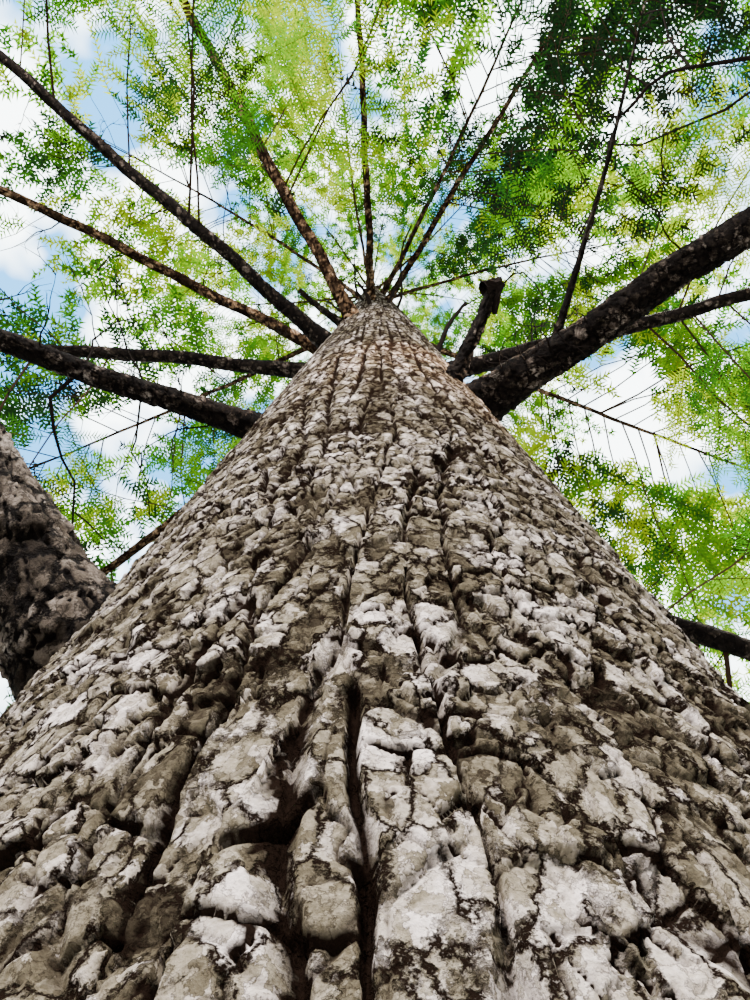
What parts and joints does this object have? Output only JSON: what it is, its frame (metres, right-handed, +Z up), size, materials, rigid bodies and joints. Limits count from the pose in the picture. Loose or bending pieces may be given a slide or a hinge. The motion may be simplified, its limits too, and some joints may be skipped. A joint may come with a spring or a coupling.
{
  "type": "hemlock tree",
  "caption": "Whole evergreen conifer with a tapered, flared trunk, layered boughs and flat drooping sprays of short needles, rooted in level ground.",
  "frame": {"origin": "the middle of the flat cut under the trunk, at ground level", "axes": "+Z up along the trunk; -Y is the side from which the picture looks up, with +X to its right"},
  "size_m": [8.2163, 8.2148, 20],
  "materials": {
    "bark": "rough grey-brown plated bark with dark furrows",
    "bough_bark": "rough dark scaly bark",
    "dead_wood": "dry grey-brown dead wood",
    "needles": "satin yellow-green to dark green needles"
  },
  "bodies": {
    "root": {"bough_back_left": "bough_bark", "bough_back_right": "bough_bark", "bough_front": "bough_bark", "bough_front_left": "bough_bark", "bough_front_right": "bough_bark", "bough_left": "bough_bark", "bough_left_fork": "bough_bark", "bough_left_long": "bough_bark", "bough_level_left": "bough_bark", "bough_low_back": "bough_bark", "bough_low_left": "bough_bark", "bough_low_right": "bough_bark", "bough_right": "bough_bark", "bough_right_side": "bough_bark", "bough_right_upper": "bough_bark", "dead_stub_left": "dead_wood", "dead_stub_right": "dead_wood", "foliage_back_left": "needles", "foliage_back_right": "needles", "foliage_crown_01": "needles", "foliage_crown_02": "needles", "foliage_crown_03": "needles", "foliage_crown_04": "needles", "foliage_crown_05": "needles", "foliage_crown_06": "needles", "foliage_crown_07": "needles", "foliage_crown_08": "needles", "foliage_crown_09": "needles", "foliage_crown_10": "needles", "foliage_crown_11": "needles", "foliage_crown_12": "needles", "foliage_crown_13": "needles", "foliage_crown_14": "needles", "foliage_crown_15": "needles", "foliage_crown_16": "needles", "foliage_crown_17": "needles", "foliage_crown_18": "needles", "foliage_crown_19": "needles", "foliage_crown_20": "needles", "foliage_crown_21": "needles", "foliage_crown_22": "needles", "foliage_crown_23": "needles", "foliage_crown_24": "needles", "foliage_crown_25": "needles", "foliage_crown_26": "needles", "foliage_crown_27": "needles", "foliage_front": "needles", "foliage_front_left": "needles", "foliage_front_right": "needles", "foliage_left": "needles", "foliage_left_fork": "needles", "foliage_left_long": "needles", "foliage_level_left": "needles", "foliage_low_back": "needles", "foliage_low_left": "needles", "foliage_low_right": "needles", "foliage_right": "needles", "foliage_right_side": "needles", "foliage_right_upper": "needles", "trunk": "bark"}
  },
  "joints": []
}
